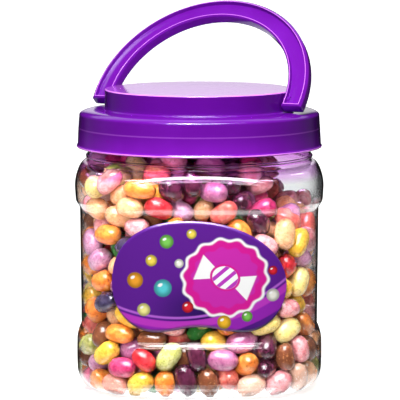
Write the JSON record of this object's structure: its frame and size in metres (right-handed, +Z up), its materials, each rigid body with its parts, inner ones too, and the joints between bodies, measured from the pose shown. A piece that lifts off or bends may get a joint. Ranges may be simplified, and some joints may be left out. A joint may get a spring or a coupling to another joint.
{
  "type": "jar of jelly beans",
  "caption": "Clear rounded-square plastic jar filled with jelly beans, with a round screw lid and a swinging carry handle.",
  "frame": {"origin": "middle of the jar's flat base, on the surface it stands on", "axes": "+Z up through the neck, -Y out of the labelled front, +X to the viewer's right"},
  "size_m": [0.1338, 0.1338, 0.2056],
  "materials": {
    "clear_plastic": "clear, glossy",
    "purple_plastic": "glossy moulded",
    "printed_film": "printed film",
    "sugar_shell": "polished sugar shell, many colours"
  },
  "bodies": {
    "jar": {"jar": "clear_plastic", "beans": "sugar_shell", "label": "printed_film", "lid": "purple_plastic"},
    "handle": {"handle": "purple_plastic"}
  },
  "joints": [
    {"name": "handle_hinge", "type": "hinge", "parent": "jar", "child": "handle", "pos_m": [0, 0, 0.155], "axis": [0.8918, -0.4524, 0], "range_deg": [-50.5, 129.5]}
  ]
}
